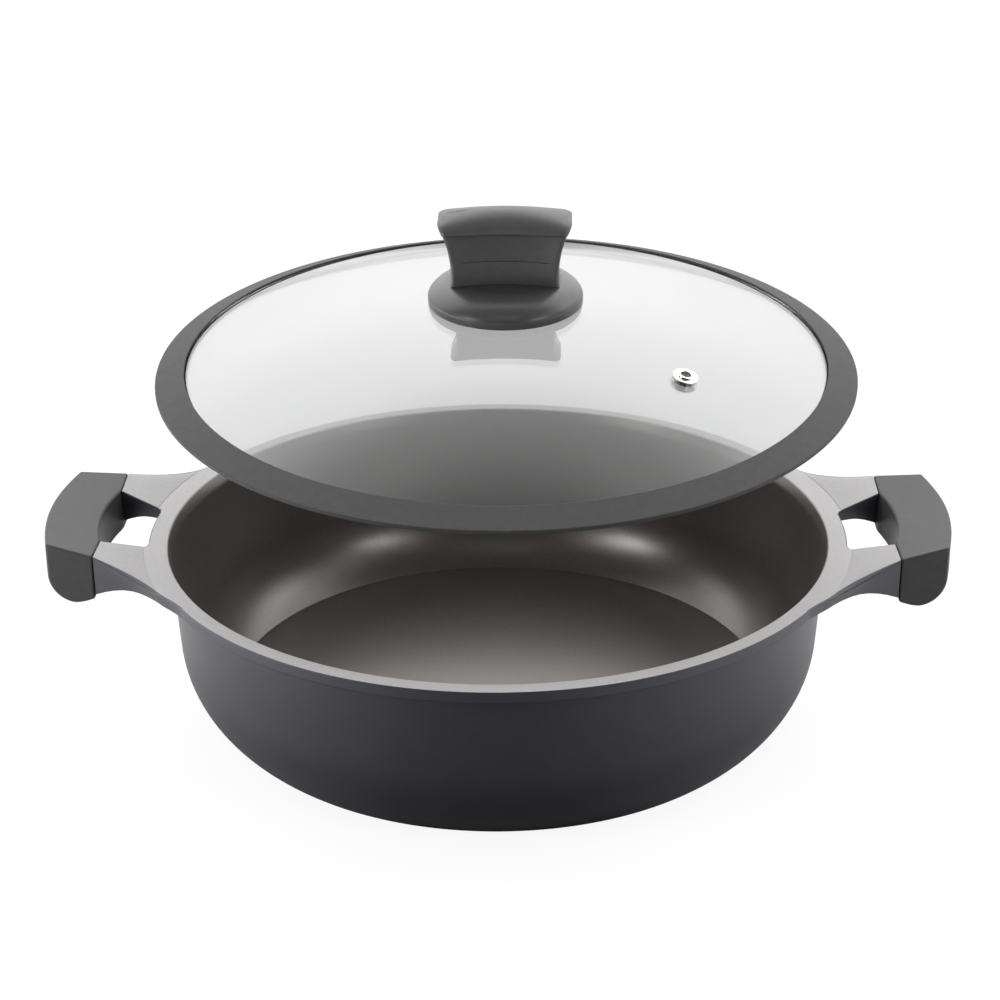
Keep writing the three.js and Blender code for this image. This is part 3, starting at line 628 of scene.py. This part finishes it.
def grip_section(s):
    """Outline of the right grip across the handle at a share from its middle (0) to its ends (-1, 1)."""
    scoop = max(0.0, 1 - (s * GRIP_HALF / SCOOP_HALF) ** 2)
    inner = GRIP_INNER + SCOOP_DEPTH * scoop
    outer = GRIP_INNER + GRIP_DEPTH - GRIP_BOW * s * s
    keel = outer - KEEL_ROUND
    outline = []
    for k in range(FLAT_STEPS):
        back = 1 - k / FLAT_STEPS
        outline.append((keel - (keel - inner) * back, KEEL_HEIGHT - KEEL_ROUND + KEEL_LIFT * back**1.5))
    for k in range(ROUND_STEPS + 1):
        angle = math.pi / 2 * (k / ROUND_STEPS - 1)
        outline.append((keel + KEEL_ROUND * math.cos(angle), KEEL_HEIGHT + KEEL_ROUND * math.sin(angle)))
    for k in range(FLAT_STEPS + 1):
        outline.append((outer + (inner - outer) * k / FLAT_STEPS, None))
    points = []
    for x, z in outline:
        y = s * (GRIP_HALF - (x - GRIP_INNER) * math.tan(GRIP_TAPER))
        if z is None:
            z = GRIP_TOP + (math.hypot(x, y) - GRIP_TOP_RADIUS) * math.tan(GRIP_RISE)
        points.append(Vector((x, y, z)) * MM)
    return points


def lofted(name, sections):
    """A piece drawn as one outline and extruded through the next ones."""
    count = len(sections[0])
    bpy.ops.object.select_all(action="DESELECT")
    bpy.ops.mesh.primitive_circle_add(vertices=count, fill_type="NGON", radius=1)
    piece = bpy.context.object
    piece.name = piece.data.name = name
    bpy.ops.object.mode_set(mode="EDIT")
    mesh = bmesh.from_edit_mesh(piece.data)
    place_of = mesh.verts.layers.int.new("place")
    for k, vertex in enumerate(mesh.verts):
        vertex[place_of] = k
    for level, section in enumerate(sections):
        bpy.ops.mesh.select_mode(type="FACE")
        if level:
            bpy.ops.mesh.extrude_region_move(TRANSFORM_OT_translate={"value": (0, 0, 0)})
        mesh = bmesh.from_edit_mesh(piece.data)
        place_of = mesh.verts.layers.int["place"]
        for vertex in mesh.verts:
            if vertex.select:
                vertex.co = section[vertex[place_of]]
        bmesh.update_edit_mesh(piece.data)
    finish_mesh()
    return piece


def soften(sharpness, width, segments):
    """Rounds the sharp edges of the active piece."""
    bpy.ops.object.mode_set(mode="EDIT")
    bpy.ops.mesh.select_mode(type="EDGE")
    bpy.ops.mesh.select_all(action="DESELECT")
    bpy.ops.mesh.edges_select_sharp(sharpness=math.radians(sharpness))
    bpy.ops.mesh.bevel(offset=width * MM, segments=segments, profile=0.5, clamp_overlap=True)
    finish_mesh()


def drill(piece, x, y, radius, bottom, top):
    """Cuts an upright round hole between two heights."""
    bpy.ops.object.select_all(action="DESELECT")
    bpy.ops.mesh.primitive_cylinder_add(
        vertices=48,
        radius=radius * MM,
        depth=(top - bottom) * MM,
        location=(x * MM, y * MM, (top + bottom) / 2 * MM),
    )
    combine(piece, bpy.context.object, "DIFFERENCE")


grip_sections = [grip_section(2 * k / GRIP_SECTIONS - 1) for k in range(GRIP_SECTIONS + 1)]
grip_right = lofted("right_grip", grip_sections)
soften(sharpness=40, width=0.9, segments=4)
for y in (-SCREW_Y, SCREW_Y):
    drill(grip_right, SCREW_X, y, SCREW_HOLE, SCREW_HOLE_FROM, SCREW_HOLE_TO)
even_shading(grip_right)
grip_right.data.materials.append(grip_finish)
bpy.ops.object.duplicate()
grip_left = bpy.context.object
grip_left.name = grip_left.data.name = "left_grip"
grip_left.rotation_euler = (0, 0, math.pi)
bpy.ops.object.transform_apply(location=True, rotation=True, scale=True)
for grip, node in ((grip_right, "grip_right"), (grip_left, "grip_left")):
    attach(grip, "pan")
    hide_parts(node)

# Grip screws. Four headed steel screws with a round drive, turned and rolled, one for each arm. They are
# sunk into the grips from below, where the hand doesn't feel them.
screw_steel = surface(
    "screw steel",
    dark=(0.45, 0.45, 0.46),
    light=(0.58, 0.58, 0.6),
    scale=2500,
    rough=(0.25, 0.4),
    grain=2600,
    relief=0.00001,
    Metallic=1.0,
)
SCREW_HEAD, SCREW_HEAD_BOTTOM, SCREW_HEAD_TOP = 4, 64.3, 66.7
DRIVE_RADIUS, DRIVE_END = 1.8, 65.6
SHANK_RADIUS, SHANK_END = 1.9, 67
first_screw = turned(
    "first grip screw",
    [
        (0, DRIVE_END, 0),
        (DRIVE_RADIUS, DRIVE_END, 0),
        (DRIVE_RADIUS, SCREW_HEAD_BOTTOM, 0.15),
        (SCREW_HEAD, SCREW_HEAD_BOTTOM, 0.9),
        (SCREW_HEAD, SCREW_HEAD_TOP, 0.2),
        (SHANK_RADIUS, SCREW_HEAD_TOP, 0),
        (SHANK_RADIUS, SHANK_END, 0),
        (0, SHANK_END, 0),
    ],
    40,
)
first_screw.data.materials.append(screw_steel)
for side, x in (("right", SCREW_X), ("left", -SCREW_X)):
    for arm, y in (("front", -SCREW_Y), ("back", SCREW_Y)):
        pick(first_screw)
        bpy.ops.object.duplicate()
        screw = bpy.context.object
        screw.name = screw.data.name = f"{side}_{arm}_grip_screw"
        screw.location = (x * MM, y * MM, 0)
        bpy.ops.object.transform_apply(location=True, rotation=True, scale=True)
        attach(screw, "pan")
        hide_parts(f"grip_screw_{side}_{arm}")
bpy.data.objects.remove(first_screw)

# Lid glass. A domed disc of clear tempered glass, 4 mm thick, pressed hot to a part of a sphere and drilled
# for the knob's screw and for the vent. The lid's pieces are made upright and then put in the lid's place.
LID = (
    Matrix.Translation((0.0033, 0.02856, 0.14592))
    @ Quaternion((0.99934397, 0.03617416, -0.00073128, -0.00158803)).to_matrix().to_4x4()
)
DOME_CENTRE, DOME_OUTSIDE, DOME_INSIDE, DOME_STEPS = -321.312, 348, 344, 48
OUTSIDE_EDGE, INSIDE_EDGE, KNOB_HOLE = 138.6, 137.0, 4
VENT_RADIUS, VENT_TURN, VENT_HOLE = 91.2, math.radians(-36.6), 3.7
VENT = (
    Matrix.Translation((0, 0, DOME_CENTRE * MM))
    @ Matrix.Rotation(VENT_TURN, 4, "Z")
    @ Matrix.Rotation(math.asin(VENT_RADIUS / DOME_OUTSIDE), 4, "Y")
    @ Matrix.Translation((0, 0, DOME_OUTSIDE * MM))
)
# The grey tone of the glass is painted shade: it dims what is seen through the glass, standing in for a
# darker backdrop behind the pan.
GLASS_SHADE_DEEPER, GLASS_SHADE_PALER = (0.43, 0.434, 0.432, 1), (0.46, 0.464, 0.462, 1)
GLASS_SHADOW = (0.86, 0.87, 0.865, 1)


def put(piece, place):
    """Moves the mesh of a piece made at the origin to its place."""
    pick(piece)
    piece.matrix_world = place
    bpy.ops.object.transform_apply(location=True, rotation=True, scale=True)


def on_lid(piece, node, finish):
    """Puts a piece in the lid's place, gives it its finish, attaches it to the lid and hides the CAD node
    that it stands for.
    """
    even_shading(piece)
    put(piece, LID)
    piece.data.materials.append(finish)
    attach(piece, "lid")
    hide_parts(node)


def dome(radius, start, stop):
    """Profile points on a sphere about the dome's centre between two distances from the axis."""
    first, last = math.asin(start / radius), math.asin(stop / radius)
    angles = [first + (last - first) * k / DOME_STEPS for k in range(DOME_STEPS + 1)]
    return [(radius * math.sin(a), DOME_CENTRE + radius * math.cos(a), 0) for a in angles]


glass = bpy.data.materials.new("clear glass")
glass.use_nodes = True
nodes, links = glass.node_tree.nodes, glass.node_tree.links
clear = nodes["Principled BSDF"]
clear.inputs["IOR"].default_value = 1.5
clear.inputs["Transmission Weight"].default_value = 1
clear.inputs["Roughness"].default_value = 0
spot = nodes.new("ShaderNodeTexCoord")
cloud = nodes.new("ShaderNodeTexNoise")
cloud.inputs["Scale"].default_value = 14
# The glass's painted-shade grey, mottled at random between two tones.
tone = nodes.new("ShaderNodeValToRGB")
tone.color_ramp.elements[0].color = GLASS_SHADE_DEEPER
tone.color_ramp.elements[1].color = GLASS_SHADE_PALER
links.new(spot.outputs["Object"], cloud.inputs["Vector"])
links.new(cloud.outputs["Fac"], tone.inputs["Fac"])
links.new(tone.outputs["Color"], clear.inputs["Base Color"])
rays = nodes.new("ShaderNodeLightPath")
through = nodes.new("ShaderNodeBsdfTransparent")
through.inputs["Color"].default_value = GLASS_SHADOW
by_ray = nodes.new("ShaderNodeMixShader")
links.new(rays.outputs["Is Shadow Ray"], by_ray.inputs[0])
links.new(clear.outputs[0], by_ray.inputs[1])
links.new(through.outputs[0], by_ray.inputs[2])
links.new(by_ray.outputs[0], nodes["Material Output"].inputs["Surface"])
underside = dome(DOME_INSIDE, KNOB_HOLE, INSIDE_EDGE)
upper_side = dome(DOME_OUTSIDE, KNOB_HOLE, OUTSIDE_EDGE)
lid_glass = turned("glass_dome", [*underside, *reversed(upper_side)], FULL_TURN_STEPS, closed=True)
bpy.ops.object.select_all(action="DESELECT")
bpy.ops.mesh.primitive_cylinder_add(vertices=64, radius=VENT_HOLE * MM, depth=20 * MM)
vent_drill = bpy.context.object
put(vent_drill, VENT)
combine(lid_glass, vent_drill, "DIFFERENCE")
on_lid(lid_glass, "lid_glass", glass)

# Lid ring. A grey silicone edge with a sloping top, an upright outer edge and a flat seat for the pan's rim.
# It is moulded round the edge of the glass, which sits in its groove.
ring_finish = surface(
    "grey silicone",
    dark=(0.056, 0.056, 0.057),
    light=(0.065, 0.065, 0.066),
    scale=260,
    rough=(0.55, 0.68),
    grain=2200,
    relief=0.00003,
    Specular_IOR_Level=0.15,
)
RING_RADIUS, RING_SEAT, RING_EDGE_TOP = 149, -6.1, -4.4
RING_TOP_RADIUS, RING_LIP_RADIUS, RING_LIP_UNDER = 136.5, 134.6, -6.0
lid_ring = turned(
    "silicone_ring",
    [
        (RING_LIP_RADIUS, RING_LIP_UNDER, 0.25),
        (138.2, -6.5, 0),
        (139.2, RING_SEAT, 0),
        (RING_RADIUS, RING_SEAT, 0.5),
        (RING_RADIUS, RING_EDGE_TOP, 0.5),
        (RING_TOP_RADIUS, 0, 0.5),
        (RING_TOP_RADIUS, -0.9, 0),
        (139.0, -2.0, 0),
        (137.4, RING_LIP_UNDER, 0),
        (RING_LIP_RADIUS, -4.9, 0),
    ],
    FULL_TURN_STEPS,
    closed=True,
)
on_lid(lid_ring, "lid_ring", ring_finish)

# Vent. A bright steel eyelet that lets steam out through the glass, drawn from sheet with a raised lip. Its
# lower end is rolled over a steel washer, which holds it.
eyelet_steel = surface(
    "bright eyelet steel",
    dark=(0.62, 0.62, 0.61),
    light=(0.72, 0.72, 0.71),
    scale=2600,
    rough=(0.12, 0.22),
    grain=2500,
    relief=0.00001,
    Metallic=1.0,
)
EYELET_STEPS = 64
EYELET_BORE, EYELET_NECK, EYELET_FLANGE, EYELET_ROLL = 2.1, 3.4, 5.2, 4.4
FLANGE_UNDER, FLANGE_TOP, LIP_TOP = 0.3, 1, 1.8
ROLL_BOTTOM, ROLL_TOP = -6.4, -5.7
WASHER_BORE, WASHER_RADIUS, WASHER_BOTTOM, WASHER_TOP = 3.7, 5.6, -5.4, -4.6
vent_eyelet = turned(
    "steam_eyelet",
    [
        (EYELET_BORE, ROLL_BOTTOM, 0.2),
        (EYELET_ROLL, ROLL_BOTTOM, 0.3),
        (EYELET_ROLL, ROLL_TOP, 0.3),
        (EYELET_NECK, ROLL_TOP, 0),
        (EYELET_NECK, FLANGE_UNDER, 0),
        (EYELET_FLANGE, FLANGE_UNDER, 0.25),
        (EYELET_FLANGE, FLANGE_TOP, 0.3),
        (3.5, FLANGE_TOP, 0.2),
        (3.1, LIP_TOP, 0.35),
        (EYELET_BORE, LIP_TOP, 0.3),
    ],
    EYELET_STEPS,
    closed=True,
)
put(vent_eyelet, VENT)
on_lid(vent_eyelet, "vent_eyelet", eyelet_steel)
vent_washer = turned(
    "eyelet_washer",
    [
        (WASHER_BORE, WASHER_BOTTOM, 0),
        (WASHER_RADIUS, WASHER_BOTTOM, 0.15),
        (WASHER_RADIUS, WASHER_TOP, 0.15),
        (WASHER_BORE, WASHER_TOP, 0),
    ],
    EYELET_STEPS,
    closed=True,
)
put(vent_washer, VENT)
on_lid(vent_washer, "vent_washer", eyelet_steel)

# Knob base. A round moulded plastic disc with a soft shoulder that spreads the knob's load over the glass.
# It is hollow underneath, apart from a boss round the screw.
disc_finish = surface(
    "disc plastic",
    dark=(0.064, 0.064, 0.066),
    light=(0.074, 0.074, 0.076),
    scale=400,
    rough=(0.28, 0.36),
    grain=2000,
    relief=0.00003,
    Specular_IOR_Level=0.36,
)
DISC_RADIUS, DISC_FLAT_RADIUS, DISC_WALL = 32.7, 23.5, 3
DISC_BOTTOM, DISC_TOP, DISC_ROOF = 25.4, 34.79, 31.79
BOSS_RADIUS, BOSS_BOTTOM, SCREW_BORE = 12.5, 28.39, 2.3
SHOULDER_STEPS = 16
SHOULDER = (
    (DISC_RADIUS, DISC_BOTTOM + 2.6),
    (DISC_RADIUS, DISC_BOTTOM + 4.6),
    (29, DISC_TOP - 0.9),
    (DISC_FLAT_RADIUS, DISC_TOP),
)
shoulder = []
for k in range(SHOULDER_STEPS + 1):
    t = k / SHOULDER_STEPS
    shares = ((1 - t) ** 3, 3 * t * (1 - t) ** 2, 3 * t * t * (1 - t), t**3)
    r = sum(share * point[0] for share, point in zip(shares, SHOULDER))
    z = sum(share * point[1] for share, point in zip(shares, SHOULDER))
    shoulder.append((r, z, 0))
knob_base = turned(
    "knob_disc",
    [
        (SCREW_BORE, BOSS_BOTTOM, 0),
        (BOSS_RADIUS, BOSS_BOTTOM, 0.3),
        (BOSS_RADIUS, DISC_ROOF, 0),
        (DISC_FLAT_RADIUS, DISC_ROOF, 0),
        (DISC_RADIUS - DISC_WALL, DISC_BOTTOM + 2, 0),
        (DISC_RADIUS - DISC_WALL, DISC_BOTTOM, 0.2),
        (DISC_RADIUS, DISC_BOTTOM, 0.4),
        *shoulder,
        (SCREW_BORE, DISC_TOP, 0),
    ],
    128,
    closed=True,
)
on_lid(knob_base, "knob_base", disc_finish)

# Knob bar. The flared plastic bar that the hand lifts, moulded with hollow faces front and back, a rounded
# head above an undercut line, and a fine parting line across each face. One screw holds it on the disc.
knob_finish = surface(
    "knob plastic",
    dark=(0.08, 0.08, 0.082),
    light=(0.092, 0.092, 0.094),
    scale=400,
    rough=(0.4, 0.5),
    grain=2000,
    relief=0.00003,
    Specular_IOR_Level=0.35,
)
# Each level of the bar: height, half width, half depth, hollow of the faces, corner, crown, recess.
LOWER_PANEL = [
    (0, 22.8, 10, 3.5, 1.6, 0, 0),
    (5, 22.5, 9.9, 3.4, 1.6, 0, 0),
    (10.1, 22.75, 9.9, 3.4, 1.6, 0, 0),
]
PARTING_LINE = [(10.2, 22.76, 9.9, 3.4, 1.6, 0, 0.5), (10.5, 22.8, 9.9, 3.4, 1.6, 0, 0.5)]
UPPER_PANEL = [
    (10.6, 22.82, 9.9, 3.4, 1.6, 0, 0.2),
    (16, 23.75, 10.3, 3.5, 1.6, 0, 0.2),
    (21.3, 25.25, 11.0, 3.5, 1.6, 0, 0.2),
    (22.9, 25.85, 11.3, 3.3, 1.6, 0, 0.2),
]
PANEL_STEPS = 4
UNDERCUT_HEIGHT, UNDERCUT_HALF = 23.1, 26
UNDERCUT = (UNDERCUT_HEIGHT, UNDERCUT_HALF, 12.3, 3.0, 2, 0, 0)
ROLL_FOOT, ROLL_HEIGHT, ROLL_LEVELS, ROLL_PER_LEVEL = 23.7, 4.7, 16, 5.8
HEAD_DEPTH, HEAD_HOLLOW, HEAD_CROWN = 12.8, 2.2, 3.0
HEAD_FLARE, HEAD_WIDEST, HEAD_HALF, HEAD_DRAWS_IN = 0.55, 26.9, 27.8, 1.4
HEAD_CORNER, CORNER_GROWS, CORNER_LIMIT = 2.4, 0.4, 12
BAR_FOOT = 35.088
CORNER_STEPS, FACE_STEPS, RECESS_SHARE = 6, 24, 0.9
head = [UNDERCUT]
for k in range(ROLL_LEVELS):
    rolled = math.radians(ROLL_PER_LEVEL * k)
    rise, reach = math.sin(rolled), math.cos(rolled)
    z = ROLL_FOOT + ROLL_HEIGHT * rise
    flared = UNDERCUT_HALF + HEAD_FLARE * (z - UNDERCUT_HEIGHT)
    drawn_in = HEAD_HALF - HEAD_DRAWS_IN * max(0, z - HEAD_WIDEST)
    corner = min(HEAD_CORNER + CORNER_GROWS * (z - ROLL_FOOT), CORNER_LIMIT * reach)
    head.append((z, min(flared, drawn_in), HEAD_DEPTH * reach, HEAD_HOLLOW * reach, corner, rise, 0))


def between(levels, steps):
    """Levels with smooth ones added between them."""
    out = []
    last = len(levels) - 1
    for k in range(last):
        p0, p1, p2, p3 = levels[max(k - 1, 0)], levels[k], levels[k + 1], levels[min(k + 2, last)]
        for n in range(steps):
            t = n / steps
            level = []
            for a, b, c, d in zip(p0, p1, p2, p3):
                square, cube = 2 * a - 5 * b + 4 * c - d, 3 * b - a - 3 * c + d
                level.append(0.5 * (2 * b + (c - a) * t + square * t * t + cube * t**3))
            out.append(level)
    return out + [list(levels[-1])]


def bar_section(z, half, depth, hollow, corner, crown, recess):
    """Outline of the bar at one level: hollow faces front and back, with rounded corners."""
    face = []
    for k in range(CORNER_STEPS):
        angle = math.pi / 2 * k / CORNER_STEPS
        face.append((-half + corner * (1 - math.cos(angle)), depth - corner * (1 - math.sin(angle))))
    for k in range(FACE_STEPS + 1):
        u = 2 * k / FACE_STEPS - 1
        sunk = recess if abs(u) < RECESS_SHARE else 0
        face.append(((half - corner) * u, depth - hollow * (1 - u * u) - sunk))
    for k in range(CORNER_STEPS):
        angle = math.pi / 2 * (1 - (k + 1) / CORNER_STEPS)
        face.append((half - corner * (1 - math.cos(angle)), depth - corner * (1 - math.sin(angle))))
    front = [(x, -y) for x, y in face]
    back = face[::-1]
    points = []
    for x, y in front + back:
        points.append(Vector((x, y, BAR_FOOT + z + HEAD_CROWN * crown * (1 - (x / half) ** 2))) * MM)
    return points


bar_levels = between(LOWER_PANEL, PANEL_STEPS) + PARTING_LINE + between(UPPER_PANEL, PANEL_STEPS) + head
knob_grip = lofted("knob_bar", [bar_section(*level) for level in bar_levels])
on_lid(knob_grip, "knob_grip", knob_finish)

# Fixing of the knob. A steel screw and washer from below, silicone gaskets on both sides of the glass, and a
# threaded brass insert inside the bar. These keep the shapes of the CAD nodes and get their finishes.
insert_brass = surface(
    "insert brass",
    dark=(0.5, 0.38, 0.16),
    light=(0.6, 0.46, 0.2),
    scale=2000,
    rough=(0.25, 0.4),
    grain=2500,
    relief=0.00001,
    Metallic=1.0,
)
for name, finish in (
    ("knob_insert", insert_brass),
    ("knob_screw", screw_steel),
    ("knob_washer", eyelet_steel),
    ("upper_gasket", ring_finish),
    ("lower_gasket", ring_finish),
):
    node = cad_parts[name]
    node.data.materials.clear()
    node.data.materials.append(finish)
